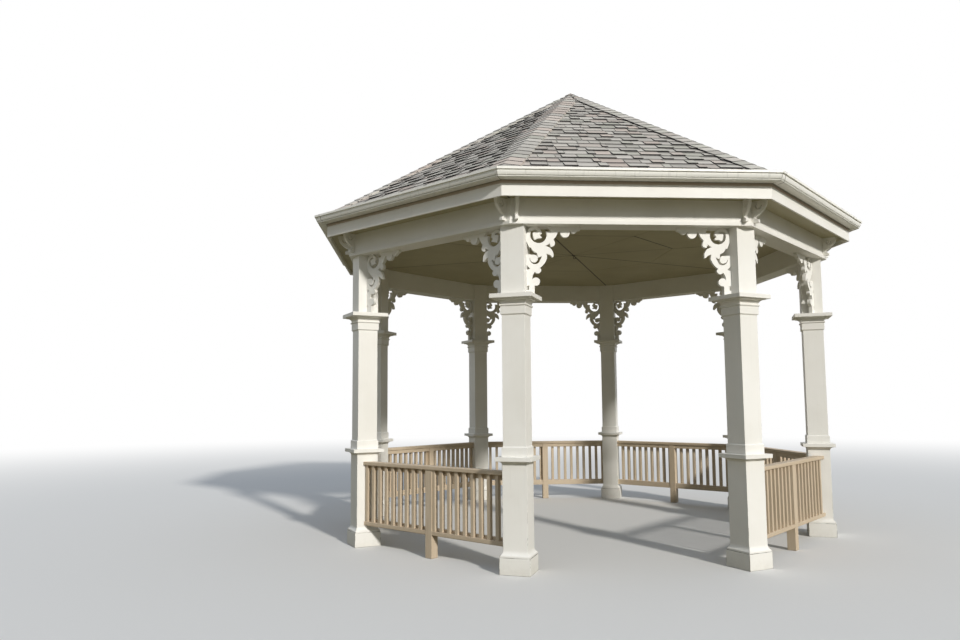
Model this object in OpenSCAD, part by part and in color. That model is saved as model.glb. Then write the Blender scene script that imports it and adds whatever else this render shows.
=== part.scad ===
// Octagonal bandstand: eight boxed columns, balustrades on seven sides, scroll-sawn
// brackets, a beam ring with corbels under a boxed eave, a gutter and a hipped roof.
// The origin is the centre of the plan on the ground, and the entrance faces -Y.
// Columns and sides are numbered counterclockwise from above. Side 1 is the entrance,
// column 1 stands at its left end seen from outside, and side i ends at column i + 1.

/* [Plan] */
// Distance from the centre of the plan to the centre of each column
column_r = 2840; // [2600:5:3200]

/* [Columns] */
// Width of the plinth block
plinth_w = 292; // [290:1:320]
// Height of the plinth block
plinth_h = 150; // [120:1:170]
// How far the moulding above the plinth stands out from the pedestal
base_lip = 24; // [15:1:26]
// Height of the upright edge below the base cove
base_lip_h = 18; // [8:1:22]
// Radius of the cove above the plinth
base_cove_r = 60; // [40:1:62]
// Width of the pedestal box
pedestal_w = 235; // [225:1:240]
// Height of the top of the pedestal box above the ground
pedestal_top = 978; // [940:1:1080]
// Radius of the cove under the ledge
ledge_cove_r = 32; // [20:1:40]
// Height of the small square edge between that cove and the ledge
ledge_fillet_h = 4; // [2:1:10]
// Width of the ledge slab on the pedestal
ledge_w = 344; // [320:1:380]
// Thickness of the ledge slab
ledge_h = 38; // [25:1:50]
// Width of the shaft above the ledge
shaft_w = 220; // [200:1:224]
// How far the bands at the foot and neck of the shaft stand out
band_out = 11.5; // [6:0.5:14]
// Height of the band at the foot of the shaft
foot_band_h = 85; // [60:1:110]
// Height of the chamfer of both bands
band_chamfer_h = 11; // [6:1:15]
// Height of the band at the neck of the shaft
neck_band_h = 74; // [50:1:100]
// Radius of the round bead above the neck band
neck_bead_r = 10.5; // [7:0.5:13]
// Radius of the cove under the capital slab
neck_cove_r = 42; // [30:1:50]
// How far the square edge above that cove stands out from it
capital_lip = 6.5; // [3:0.5:10]
// Height of that square edge
capital_lip_h = 8; // [4:1:12]
// Width of the capital slab
capital_w = 406; // [380:1:450]
// Thickness of the capital slab
capital_h = 40; // [25:1:50]
// Width of the post from the capital up to the ceiling
post_w = 228; // [210:1:236]

/* [Beams] */
// Height of the underside of the beams above the ground
beam_z = 3210; // [3050:1:3400]
// Height of the beams
beam_h = 259; // [240:1:300]
// Width of the beams, the frieze outside included
beam_w = 214; // [180:1:225]
// How far the beams stand out past the posts' outer corners
beam_proud = 12; // [6:1:25]
// How far the strip along the foot of the frieze stands out
strip_out = 18; // [12:1:40]
// Height of that strip
strip_h = 34; // [25:1:60]

/* [Eave] */
// Height of the soffit above the beams' underside
frieze_h = 245; // [225:1:247]
// Width of the soffit between frieze and fascia
soffit_w = 232; // [200:1:280]
// Thickness of the soffit board
soffit_t = 12; // [8:1:12]
// Thickness of the fascia board
fascia_t = 20; // [16:1:30]
// Height of the fascia board
fascia_h = 218; // [190:1:240]
// How far the fascia reaches below the soffit
fascia_drop = 46; // [25:1:60]

/* [Gutter] */
// Thickness of the gutter sheet
gutter_t = 3; // [2:0.5:4]
// Height of the gutter's underside below the fascia's top
gutter_below = 74; // [60:1:90]
// Width of the gutter's flat bottom
gutter_bed = 57; // [45:1:65]
// Width of the gutter at its front lip
gutter_reach = 136; // [115:1:145]
// Height of the gutter's front lip above its underside
gutter_h = 86; // [76:1:105]
// Height of the round bead at the foot of the gutter's front
gutter_bead_h = 17; // [12:1:20]
// Height of the upright rim above the curved front
gutter_rim_h = 22; // [16:1:30]
// Width of the rim that turns back in
gutter_turn_w = 10; // [6:1:16]

/* [Roof] */
// Slope of the roof in degrees
roof_pitch = 33.4; // [28:0.1:38]
// Thickness of boards and shingles together
roof_t = 30; // [20:1:45]
// How far the roof covering reaches past the fascia
roof_lap = 20; // [10:1:35]
// Width of the cap on the peak, across its flats
cap_w = 160; // [120:1:220]
// Thickness of the cap
cap_t = 11; // [8:1:20]

/* [Ceiling] */
// Thickness of the ceiling boards
ceiling_t = 12; // [9:1:25]
// Width of the joints between ceiling panels
joint_w = 8; // [4:1:14]
// Depth of those joints
joint_d = 4; // [2:1:6]
// Distance from the centre to the corners of the middle panel group
panel_r = 1267; // [900:1:1600]
// Width of the round plate of the hook
hook_plate_w = 44; // [30:1:60]
// Thickness of the hook's plate
hook_plate_t = 5; // [3:1:8]
// Thickness of the hook's wire
hook_wire = 7; // [5:0.5:9]
// Radius of the hook's bend, to the middle of the wire
hook_bend_r = 14; // [10:1:18]
// Length of the hook's straight shank
hook_shank = 26; // [15:1:50]

/* [Railings] */
// Distance of the railing's middle line outside the line of the column centres
rail_out = 38; // [30:1:44]
// Height of the top of the handrail
rail_top = 914; // [850:1:930]
// Width of the handrail
handrail_w = 108; // [95:1:120]
// Thickness of the handrail
handrail_h = 38; // [30:1:45]
// Radius of the handrail's edges
handrail_edge_r = 7; // [3:1:12]
// Width of the post in the middle of each railing
mid_post_w = 89; // [80:1:95]
// Thickness of the rails and balusters
lumber = 38; // [32:1:40]
// Widest gap between two balusters
baluster_gap = 67; // [60:1:100]
// Height of the inner rail under the handrail
inner_rail_h = 51; // [40:1:80]
// Height of the underside of the outer bottom rail
bottom_rail_z = 232; // [222:1:255]
// Width of the outer bottom rail
bottom_rail_w = 43; // [40:1:44]
// Height of the underside of the inner bottom board
inner_board_z = 218; // [218:1:240]
// Height of the inner bottom board
inner_board_h = 77; // [60:1:100]

/* [Brackets] */
// Thickness of the bracket boards
bracket_t = 38; // [25:1:45]
// Height of each bracket from the capital to the beam
bracket_h = 650; // [610:1:700]
// Reach of each bracket from its post along the beam
bracket_reach = 508; // [475:1:550]
// Radius of the drop ball under the arm
drop_ball_r = 45; // [40:1:48]
// Radius of the ball inside the middle scroll
inner_ball_r = 37; // [33:1:39]
// Radius of the ball above the leg
leg_ball_r = 39; // [35:1:42]
// Outer radius of the arch over the scroll
arch_r = 71; // [68:1:73]
// Width of the arch band
arch_band = 29; // [24:1:32]

/* [Corbels] */
// Thickness of the corbel boards
corbel_t = 32; // [25:1:40]
// Distance of the corbel boards' middle from the frieze's corner
corbel_in = 57; // [45:1:80]
// Reach of each corbel along the soffit
corbel_reach = 150; // [130:1:175]
// Reach of each corbel's foot on the strip
corbel_foot_w = 68; // [55:1:90]
// Height of the corbel's foot
corbel_foot_h = 30; // [20:1:36]
// Radius of the middle of the corbel's scroll slot
corbel_scroll_r = 27; // [20:1:30]
// Width of the corbel's scroll slot
corbel_slot = 9; // [5:1:12]

/* [Hidden] */
SIDES = 8;

// Angle between two sides, and between a side and the column at its end
side_turn = 360 / SIDES;
half_turn = side_turn / 2;
// Distance of the column centres from the middle of the plan, square to a side,
// and along the side
column_out = column_r * cos(half_turn);
column_along = column_r * sin(half_turn);

// Heights of the column's parts, built up from the ground and down from the beam
base_cove_h = sqrt(pow(base_cove_r, 2) - pow(base_cove_r - base_lip, 2));
ledge_z = pedestal_top + ledge_cove_r + ledge_fillet_h;
ledge_top = ledge_z + ledge_h;
capital_top = beam_z - bracket_h;
capital_z = capital_top - capital_h;
neck_cove_top = capital_z - capital_lip_h;
neck_cove_z = neck_cove_top - neck_cove_r;
neck_bead_z = neck_cove_z - 2 * neck_bead_r;
neck_band_z = neck_bead_z - neck_band_h;

// Faces of the beams, square to a side
beam_out = (column_r + post_w / 2) * cos(half_turn) + post_w / 2 * sin(half_turn) + beam_proud;
beam_in = beam_out - beam_w;
beam_top = beam_z + beam_h;

// Soffit, fascia and gutter
soffit_z = beam_z + frieze_h;
fascia_in = beam_out + soffit_w;
fascia_out = fascia_in + fascia_t;
fascia_z = soffit_z - fascia_drop;
fascia_top = fascia_z + fascia_h;
gutter_z = fascia_top - gutter_below;
// The back of the gutter ends this far below the roof covering
gutter_gap = 8;

// Roof: rise over a distance measured square to a side
roof_steep = tan(roof_pitch);
roof_t_plumb = roof_t / cos(roof_pitch);
roof_edge = fascia_out + roof_lap;
roof_peak = fascia_top + roof_t_plumb + fascia_out * roof_steep;
function roof_top_at(out) = roof_peak - out * roof_steep;

// Railing: its middle line, square to a side
rail_line = column_out + rail_out;
handrail_z = rail_top - handrail_h;

// The scroll pattern of the brackets is drawn on a sheet of this size
pattern_w = 508;
pattern_h = 642;
// The pattern reaches this far past the post's face, to be cut to it on the slant
pattern_spare = 14;

// Bow of a quarter round and of a half round, as a share of the chord
quarter = tan(22.5) / 2;
half = 0.5;
// Largest angle between two points on a bowed line
arc_step = 15;

painted = "ivory";
stained = "tan";

// Vector p turned counterclockwise by an angle
function turned(p, angle) = [
    p[0] * cos(angle) - p[1] * sin(angle),
    p[0] * sin(angle) + p[1] * cos(angle)];

// Points from p towards q, without q, on an arc that bows to the left of the way
// from p to q by a share of the chord
function bowed(p, q, bow) = bow == 0 ? [p] :
    let (angle = 4 * atan(2 * bow),
         left = turned(q - p, 90),
         centre = (p + q) / 2 - left / (2 * tan(angle / 2)),
         steps = ceil(abs(angle) / arc_step))
    [for (i = [0:steps - 1]) centre + turned(p - centre, -angle * i / steps)];

// Closed outline through points [x, y, bow], where bow shapes the way to the next point
function bowed_outline(points) = [
    for (i = [0:len(points) - 1])
        let (here = points[i], next = points[(i + 1) % len(points)])
        each bowed([here[0], here[1]], [next[0], next[1]], here[2])];

// Places: children drawn outwards along +X from the middle of the plan
module at_column(i) rotate((i - 1) * side_turn - 90 - half_turn) translate([column_r, 0, 0]) children();
module at_side(i) rotate((i - 1) * side_turn - 90) children();

// Regular octagon with a flat towards +X
module octagon(flat) rotate(half_turn) circle(r = flat / cos(half_turn), $fn = SIDES);

// Octagonal ring with flats at two distances from the middle
module ring(inner, outer, z, h)
    translate([0, 0, z]) linear_extrude(h) difference() {
        octagon(outer);
        octagon(inner);
    }

// One side's share of a mitred run whose section, drawn as [out, height], lies within reach
module mitred_length(reach, z, h) {
    along = reach * tan(half_turn);
    intersection() {
        translate([0, along, 0]) rotate([90, 0, 0]) linear_extrude(2 * along) children();
        translate([0, 0, z]) linear_extrude(h) polygon([[0, 0], [reach, -along], [reach, along]]);
    }
}

// Column profile from the ground up, as [half width, height]
function column_side() =
    let (plinth = plinth_w / 2, pedestal = pedestal_w / 2, ledge = ledge_w / 2,
         shaft = shaft_w / 2, band = shaft + band_out, capital = capital_w / 2, post = post_w / 2,
         cove_angle = acos(1 - base_lip / base_cove_r),
         lip_top = plinth_h + base_lip_h)
    concat(
        [[plinth, 0], [plinth, plinth_h], [pedestal + base_lip, plinth_h]],
        bowed([pedestal + base_lip, lip_top], [pedestal, lip_top + base_cove_h], tan(cove_angle / 4) / 2),
        [[pedestal, lip_top + base_cove_h]],
        bowed([pedestal, pedestal_top], [pedestal + ledge_cove_r, pedestal_top + ledge_cove_r], quarter),
        [[pedestal + ledge_cove_r, pedestal_top + ledge_cove_r], [pedestal + ledge_cove_r, ledge_z]],
        [[ledge, ledge_z], [ledge, ledge_top], [band, ledge_top]],
        [[band, ledge_top + foot_band_h], [shaft, ledge_top + foot_band_h + band_chamfer_h]],
        [[shaft, neck_band_z - band_chamfer_h], [band, neck_band_z]],
        bowed([band, neck_bead_z], [band, neck_cove_z], -half),
        bowed([band, neck_cove_z], [band + neck_cove_r, neck_cove_top], quarter),
        [[band + neck_cove_r, neck_cove_top], [band + neck_cove_r + capital_lip, neck_cove_top]],
        [[band + neck_cove_r + capital_lip, capital_z], [capital, capital_z]],
        [[capital, capital_top], [post, capital_top], [post, beam_top]]);

// A square solid whose four sides follow one profile, mitred at the corners
module square_moulded(side, w) {
    left = [for (i = [len(side) - 1:-1:0]) [-side[i][0], side[i][1]]];
    intersection() {
        translate([0, w / 2, 0]) rotate([90, 0, 0]) linear_extrude(w) polygon(concat(side, left));
        translate([-w / 2, 0, 0]) rotate([90, 0, 90]) linear_extrude(w) polygon(concat(side, left));
    }
}

module column(i)
    color(painted) at_column(i) square_moulded(column_side(), max(capital_w, ledge_w, plinth_w) + 2);

// Square block that stands for a column when something is cut to its side
module column_block(i, w, z, h)
    at_column(i) translate([-w / 2, -w / 2, z]) cube([w, w, h]);

module beam_ring()
    color(painted) difference() {
        ring(beam_in, beam_out, beam_z, beam_h);
        // each post runs up between the beams, which end at its sides
        for (i = [1:SIDES])
            at_column(i) translate([-post_w, -post_w / 2, beam_z - 1])
                cube([post_w * 1.5, post_w, beam_h + 2]);
    }

module frieze_strip()
    color(painted) ring(beam_out, beam_out + strip_out, beam_z, strip_h);

module soffit()
    color("wheat") ring(beam_out, fascia_in, soffit_z, soffit_t);

module fascia()
    color(painted) ring(fascia_in, fascia_out, fascia_z, fascia_h);

// Gutter section from the top of its back, round the trough to the rim, set in by t
function gutter_line(t) =
    let (bed = gutter_bed - t / 2, front = gutter_reach - t, top = gutter_h - t,
         bend = [(gutter_bed + gutter_reach) / 2 - t / 2, (gutter_bead_h + gutter_h - gutter_rim_h) / 2 + t],
         rim_z = gutter_h - gutter_rim_h)
    concat(
        [[t, gutter_below - gutter_gap], [t, t]],
        bowed([bed, t], [bed, gutter_bead_h - t / 3], -half),
        bowed([bed, gutter_bead_h - t / 3], bend, quarter / 2),
        bowed(bend, [front, rim_z], -quarter / 2),
        [[front, rim_z], [front, top], [gutter_reach - gutter_turn_w, top]]);

module gutter() {
    outside = gutter_line(0);
    inside = gutter_line(gutter_t);
    section = concat(outside, [for (i = [len(inside) - 1:-1:0]) inside[i]]);
    color("white") for (i = [1:SIDES])
        at_side(i) mitred_length(fascia_out + gutter_reach + 1, gutter_z - 1, gutter_h + 2)
            translate([fascia_out, gutter_z]) polygon(section);
}

// One slope, with a level seat on the fascia
module roof_slope(i) {
    under = fascia_top - roof_lap * roof_steep;
    section = [
        [0, roof_peak], [0, roof_peak - roof_t_plumb],
        [fascia_in, roof_top_at(fascia_in) - roof_t_plumb], [fascia_in, fascia_top], [fascia_out, fascia_top],
        [roof_edge, under], [roof_edge, roof_top_at(roof_edge)]];
    color("dimgray") at_side(i)
        mitred_length(roof_edge + 1, under - 1, roof_peak - under + 2) polygon(section);
}

// Solid in which the same section, drawn as [out, height], faces all eight sides
module eightfold(reach)
    intersection_for (i = [1:SIDES / 2])
        rotate(i * side_turn) translate([0, reach, 0]) rotate([90, 0, 0]) linear_extrude(2 * reach) children();

// Cap that follows the slopes at the peak
module roof_cap() {
    edge = cap_w / 2;
    edge_z = roof_top_at(edge);
    thick = cap_t / cos(roof_pitch);
    past = edge + cap_t;
    color("gray") difference() {
        eightfold(edge + 1) polygon([
            [-edge, edge_z - 1], [edge, edge_z - 1], [edge, edge_z + thick],
            [0, roof_peak + thick], [-edge, edge_z + thick]]);
        eightfold(past + 1) polygon([[-past, roof_top_at(past)], [past, roof_top_at(past)], [0, roof_peak]]);
    }
}

// Ceiling boards on the beams, with open joints towards the corners and round the middle
module ceiling()
    color("wheat") difference() {
        translate([0, 0, beam_top]) linear_extrude(ceiling_t) octagon(beam_out);
        for (i = [1:SIDES])
            rotate(half_turn + i * side_turn) translate([0, -joint_w / 2, beam_top - 1])
                cube([beam_in / cos(half_turn), joint_w, joint_d + 1]);
        ring(panel_r * cos(half_turn) - joint_w / 2, panel_r * cos(half_turn) + joint_w / 2,
             beam_top - 1, joint_d + 1);
    }

// Plate, shank and open bend that hang from the middle of the ceiling
module ceiling_hook()
    color("dimgray") translate([0, 0, beam_top]) {
        translate([0, 0, -hook_plate_t]) cylinder(d = hook_plate_w, h = hook_plate_t, $fn = 48);
        translate([0, 0, -hook_plate_t - hook_shank]) cylinder(d = hook_wire, h = hook_shank, $fn = 24);
        translate([hook_bend_r, 0, -hook_plate_t - hook_shank]) rotate([90, 0, 180])
            rotate_extrude(angle = -220, $fn = 48) translate([hook_bend_r, 0]) circle(d = hook_wire, $fn = 24);
    }

// Bar along the whole side, from one column centre to the other
module side_bar(inner, outer, z, h)
    translate([inner, -column_along, z]) cube([outer - inner, 2 * column_along, h]);

// Rectangle from [x, z] with two rounded upper edges
module handrail_section(w, h, r)
    union() {
        square([w, h - r]);
        translate([r, 0]) square([w - 2 * r, h]);
        translate([r, h - r]) circle(r, $fn = 32);
        translate([w - r, h - r]) circle(r, $fn = 32);
    }

module balusters() {
    z = bottom_rail_z + lumber;
    // seen from outside, the first baluster of each half stands against what is left of it, a
    // pedestal or the middle post, and the gap after the last is as wide as the others
    end = column_along - pedestal_w / 2 / cos(half_turn) + rail_out * tan(half_turn);
    clear = end - mid_post_w / 2;
    count = ceil(clear / (lumber + baluster_gap));
    for (start = [-end, mid_post_w / 2], k = [0:count - 1])
        translate([rail_line, start + k * clear / count, z])
            cube([lumber, lumber, handrail_z - z]);
}

module railing(i)
    color(stained) difference() {
        at_side(i) {
            translate([rail_line - handrail_w / 2, column_along, handrail_z]) rotate([90, 0, 0])
                linear_extrude(2 * column_along) handrail_section(handrail_w, handrail_h, handrail_edge_r);
            translate([rail_line - mid_post_w / 2, -mid_post_w / 2, 0])
                cube([mid_post_w, mid_post_w, handrail_z]);
            side_bar(rail_line - lumber, rail_line, handrail_z - inner_rail_h, inner_rail_h);
            side_bar(rail_line - lumber, rail_line, inner_board_z, inner_board_h);
            side_bar(rail_line, rail_line + bottom_rail_w, bottom_rail_z, lumber);
            balusters();
        }
        for (k = [i, i + 1]) column_block(k, pedestal_w, 0, pedestal_top);
    }

// A point of the bracket pattern, taken from the sheet to the board's real size.
// Patterns start at the corner of post and beam, out along the beam and down the post.
function on_board(p) = [
    p[0] * bracket_reach / pattern_w,
    p[1] * bracket_h / pattern_h,
    p[2]];

module pattern(points) polygon(bowed_outline([for (p = points) on_board(p)]));
module pattern_disc(p, r) translate([on_board(p)[0], on_board(p)[1]]) circle(r, $fn = 64);

// Middles of the round features of the bracket
arch_at = [70, -69.5, 0];
eye_at = [109, -78, 0];
inner_ball_at = [63, -303, 0];
leg_ball_at = [79, -520, 0];
drop_ball_at = [364, -57, 0];
eye_r = 79;

// Outer edge of the bracket: down the post, up the leg's free side and round the
// lobe, the leaf, the upper lobe and the arm
module bracket_outline() {
    pattern([
        [-pattern_spare, 0, 0], [-pattern_spare, -pattern_h, 0],
        [66, -pattern_h, 0], [66, -520, 0], [47, -497, 0.1], [50, -465, 0.08],
        [72, -428, -0.3], [125, -427, -0.3], [116, -393, -0.09],
        [188, -300, -0.05], [182, -255, 0.1],
        [238, -288, -0.35], [250, -276, -0.13], [216, -200, -0.05], [173, -184, 0],
        [214, -160, 0.1], [222, -188, -0.34], [262, -143, -0.12], [250, -122, -0.07],
        [300, -38, -0.3], [322, -38, 0], [410, -38, 0.15], [424, -55, -0.2],
        [468, -52, 0.12], [pattern_w, -32, -0.3], [pattern_w - 8, 0, 0]]);
    pattern_disc(leg_ball_at, leg_ball_r);
    pattern_disc(drop_ball_at, drop_ball_r);
}

// Openings sawn out of the board
module bracket_openings() {
    // corner between post, beam and arch
    difference() {
        pattern([[-2 * pattern_spare, 1, 0], [-2 * pattern_spare, arch_at[1], 0], arch_at, [arch_at[0], 1, 0]]);
        pattern_disc(arch_at, arch_r);
    }
    // eye of the scroll, open to the beam beside the arm
    difference() {
        union() {
            pattern_disc(eye_at, eye_r);
            pattern([[109, 2, 0], [109, -44, 0], [228, -46, -0.1], [202, 2, 0]]);
        }
        scroll_core();
    }
    // drop-shaped opening against the post, above the inner ball
    difference() {
        pattern([
            [-2 * pattern_spare, -146, 0], [-2 * pattern_spare, -264, 0], [30, -264, 0], [60, -290, 0],
            [104, -294, 0.06], [94, -250, 0.14], [38, -198, 0], [22, -198, 0.05], [0, -146, 0]]);
        inner_ball();
    }
    // crescent round the inner ball
    difference() {
        intersection() {
            pattern_disc([72, -305, 0], 51);
            pattern([[16, -293, 0], [16, -360, 0], [130, -360, 0], [130, -293, 0]]);
        }
        inner_ball();
    }
    pattern([[112, -292, 0], [124, -312, -0.1], [136, -277, 0.1]]);
    // notch and relief against the post
    pattern([[-2 * pattern_spare, -370, 0], [-2 * pattern_spare, -406, 0], [12, -408, 0], [27, -396, 0.1], [2, -370, 0]]);
    pattern([[-2 * pattern_spare, -545, 0], [-2 * pattern_spare, -600, 0], [13, -600, 0], [13, -556, 0.2]]);
}

module inner_ball() {
    pattern_disc(inner_ball_at, inner_ball_r);
    // neck that holds the ball on the post side
    pattern([[-pattern_spare, -264, 0], [-pattern_spare, -303, 0], [50, -303, 0], [50, -266, 0]]);
}

// Arch band that curls down into the leaf in the scroll's eye
module scroll_core() {
    difference() {
        pattern_disc(arch_at, arch_r);
        pattern_disc(arch_at, arch_r - arch_band);
        pattern([[-20, arch_at[1], 0], [-20, -150, 0], [150, -150, 0], [150, arch_at[1], 0]]);
    }
    pattern([
        [57, -52, -0.08], [59, -92, -0.08], [77, -126, 0.14], [123, -112, -0.1], [144, -100, 0.1],
        [124, -84, 0.1], [139, -62, 0], [128, -40, 0], [98, -32, 0.1], [88, -50, 0]]);
}

module bracket_board()
    linear_extrude(bracket_t) difference() {
        bracket_outline();
        bracket_openings();
    }

// The two brackets of one side, each in the middle of a post's side face and cut to it
module brackets(i) {
    board_out = column_out + post_w / 2 * sin(half_turn);
    from_middle = column_along - post_w / 2 * cos(half_turn);
    color(painted) difference() {
        at_side(i) for (way = [0, 1])
            mirror([0, way, 0]) translate([board_out - bracket_t / 2, from_middle, beam_z])
                rotate([90, 0, 90]) mirror([1, 0, 0]) bracket_board();
        for (k = [i, i + 1]) column_block(k, post_w, capital_top - 1, bracket_h + 2);
    }
}

// The corbel's outline is drawn on a sheet that reaches this far out and down
corbel_sheet_w = 150;
corbel_sheet_h = 211;
// Free board between the scroll's slot and the soffit
corbel_web = 20;
// Middle of the scroll as a share of the reach, and the turn of its bridge
corbel_scroll_at = 0.47;
corbel_bridge_turn = 20;

// Corbel seen from its side, from the corner of frieze and soffit outwards
module corbel_face() {
    drop = frieze_h - strip_h;
    function on_sheet(x, y, bow) = [x * corbel_reach / corbel_sheet_w, y * drop / corbel_sheet_h, bow];
    scroll = [corbel_scroll_at * corbel_reach, -corbel_scroll_r - corbel_slot / 2 - corbel_web];
    difference() {
        polygon(bowed_outline([
            [0, 0, 0], [0, -drop, 0], [corbel_foot_w, -drop, 0],
            [corbel_foot_w, corbel_foot_h - drop, 0.12], on_sheet(32, -156, -0.05),
            on_sheet(112, -98, -0.1), on_sheet(150, -10, -quarter), on_sheet(142, 0, 0)]));
        translate(scroll) difference() {
            circle(corbel_scroll_r + corbel_slot / 2, $fn = 48);
            circle(corbel_scroll_r - corbel_slot / 2, $fn = 48);
            // bridge that holds the middle of the scroll
            rotate(corbel_bridge_turn) square(2 * corbel_scroll_r);
        }
    }
}

// The corbels at both ends of one side
module corbels(i) {
    from_middle = beam_out * tan(half_turn) - corbel_in;
    color(painted) at_side(i) for (way = [-1, 1])
        translate([beam_out, way * from_middle + corbel_t / 2, soffit_z]) rotate([90, 0, 0])
            linear_extrude(corbel_t) corbel_face();
}

for (i = [1:SIDES]) column(i);
for (i = [1:SIDES]) brackets(i);
for (i = [2:SIDES]) railing(i);
beam_ring();
frieze_strip();
soffit();
fascia();
gutter();
ceiling();
ceiling_hook();
for (i = [1:SIDES / 2]) union() {
    corbels(2 * i - 1);
    corbels(2 * i);
}
for (i = [1:SIDES]) roof_slope(i);
roof_cap();
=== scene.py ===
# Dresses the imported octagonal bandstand: shingled roof, gutter, painted woodwork, ceiling and railings.
import bmesh
import bpy
import math
from mathutils import Matrix, Vector


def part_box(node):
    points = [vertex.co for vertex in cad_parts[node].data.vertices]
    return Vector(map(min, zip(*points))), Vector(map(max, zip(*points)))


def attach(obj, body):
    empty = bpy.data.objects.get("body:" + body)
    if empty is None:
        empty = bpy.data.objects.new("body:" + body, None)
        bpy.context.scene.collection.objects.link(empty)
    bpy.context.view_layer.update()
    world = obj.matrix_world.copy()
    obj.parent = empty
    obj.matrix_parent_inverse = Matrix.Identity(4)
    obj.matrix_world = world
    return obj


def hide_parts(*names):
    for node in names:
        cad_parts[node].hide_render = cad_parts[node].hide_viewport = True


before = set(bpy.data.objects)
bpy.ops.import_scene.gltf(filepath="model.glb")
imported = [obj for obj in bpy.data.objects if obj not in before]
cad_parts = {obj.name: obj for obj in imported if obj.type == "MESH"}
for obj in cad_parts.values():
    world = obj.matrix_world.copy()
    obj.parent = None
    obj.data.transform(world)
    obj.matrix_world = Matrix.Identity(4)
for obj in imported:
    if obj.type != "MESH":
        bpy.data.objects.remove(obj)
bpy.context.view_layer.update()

# Plan, in metres. Side 1, the entrance, faces -Y, and column 1 is at its left end.
plan = dict(sides=8, pedestalWidth=0.235)
numbers = range(1, plan["sides"] + 1)
sideTurn = 2 * math.pi / plan["sides"]
halfTurn = sideTurn / 2
columnLow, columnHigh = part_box("column_1")
columnOut = -(columnLow.y + columnHigh.y) / 2
columnAlong = -(columnLow.x + columnHigh.x) / 2


# Side i's own axes: X out, Y along the side to the right seen from outside, Z up.
def sideMatrix(side):
    return Matrix.Rotation((side - 1) * sideTurn - math.pi / 2, 4, "Z")


# Column i's own axes: X out through the corner, Z up.
def columnMatrix(column):
    return Matrix.Rotation((column - 1) * sideTurn - math.pi / 2 - halfTurn, 4, "Z")


def linked(name, data):
    # a new object in the scene
    thing = bpy.data.objects.new(name, data)
    bpy.context.scene.collection.objects.link(thing)
    return thing


# Node helpers, for materials and for geometry
def emptyTree(owner):
    owner.use_nodes = True
    owner.node_tree.nodes.clear()
    return owner.node_tree


def newMaterial(name):
    material = bpy.data.materials.new(name)
    return material, emptyTree(material)


def put(tree, kind, feeds=None, **settings):
    # One node: settings are its own properties, feeds go to its inputs by name or number.
    node = tree.nodes.new(kind)
    for key, value in settings.items():
        setattr(node, key, value)
    for key, value in (feeds or {}).items():
        if isinstance(value, bpy.types.NodeSocket):
            tree.links.new(value, node.inputs[key])
        else:
            node.inputs[key].default_value = value
    return node


def outOf(tree, kind, feeds=None, **settings):
    return put(tree, kind, feeds, **settings).outputs[0]


def sums(tree, operation, first, second=0.0, third=0.0):
    return outOf(tree, "ShaderNodeMath", {0: first, 1: second, 2: third}, operation=operation)


def plus(tree, first, second):
    return sums(tree, "ADD", first, second)


def minus(tree, first, second):
    return sums(tree, "SUBTRACT", first, second)


def times(tree, first, second):
    return sums(tree, "MULTIPLY", first, second)


def parts(tree, vector):
    return put(tree, "ShaderNodeSeparateXYZ", {0: vector}).outputs


def lengthOf(tree, vector):
    return put(tree, "ShaderNodeVectorMath", {0: vector}, operation="LENGTH").outputs["Value"]


def objectPlace(tree):
    return put(tree, "ShaderNodeTexCoord").outputs["Object"]


def ramp(tree, value, low, high, start=0.0, end=1.0, **settings):
    return outOf(tree, "ShaderNodeMapRange", {"Value": value, "From Min": low, "From Max": high,
                                              "To Min": start, "To Max": end}, **settings)


def blend(tree, share, first, second):
    # colours are written as three numbers, and sockets are taken as they are
    first, second = [(*value, 1) if isinstance(value, tuple) else value for value in (first, second)]
    return put(tree, "ShaderNodeMix", {0: share, 6: first, 7: second}, data_type="RGBA").outputs[2]


def laid(tree, colour, over, mask, share):
    # another colour laid over this one: as much of it as the mask times the share
    return blend(tree, times(tree, mask, share), colour, over)


# Camera at the photograph's viewing angle, in metres and degrees.
camera = dict(place=(-1.9372, -9.6229, 1.5548), yaw=-4.1426, pitch=5.2021, roll=-0.4201,
              lens=28.136, sensor=36, shiftY=0.01455, farthest=500)


def makeCamera(c):
    data = bpy.data.cameras.new("camera")
    data.lens = c["lens"]
    data.sensor_width = c["sensor"]
    data.shift_y = c["shiftY"]
    data.clip_end = c["farthest"]
    eye = linked("camera", data)
    eye.matrix_world = (Matrix.Translation(c["place"])
                        @ Matrix.Rotation(math.radians(c["yaw"]), 4, "Z")
                        @ Matrix.Rotation(math.radians(90 + c["pitch"]), 4, "X")
                        @ Matrix.Rotation(math.radians(c["roll"]), 4, "Z"))
    bpy.context.scene.camera = eye
    bpy.context.scene.view_settings.view_transform = "Standard"


# Studio: a soft key from the front right, a fill that is brighter overhead and a pale floor.
studio = dict(keyAzimuth=-64, keyHeight=24.6, keyStrength=2.85, keySoftness=4, keyColour=(1.0, 0.965, 0.91),
              fillHigh=(0.40, 0.445, 0.51), fillLow=(0.265, 0.27, 0.25), fillRise=(0.05, 0.6), background=1.0,
              floorRadius=60, floorCorners=96, floorDrop=0.002, floorColour=(0.78, 0.775, 0.76),
              floorBounce=(0.25, 0.225, 0.15), floorFade=(7, 26))


def makeKey(s):
    lamp = bpy.data.lights.new("key", "SUN")
    lamp.energy = s["keyStrength"]
    lamp.angle = math.radians(s["keySoftness"])
    lamp.color = s["keyColour"]
    key = linked("key", lamp)
    azimuth = math.radians(s["keyAzimuth"])
    height = math.radians(s["keyHeight"])
    level = Vector((math.cos(azimuth), math.sin(azimuth), 0)) * math.cos(height)
    towards = level + Vector((0, 0, math.sin(height)))
    key.rotation_euler = towards.to_track_quat("Z", "Y").to_euler()


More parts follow.
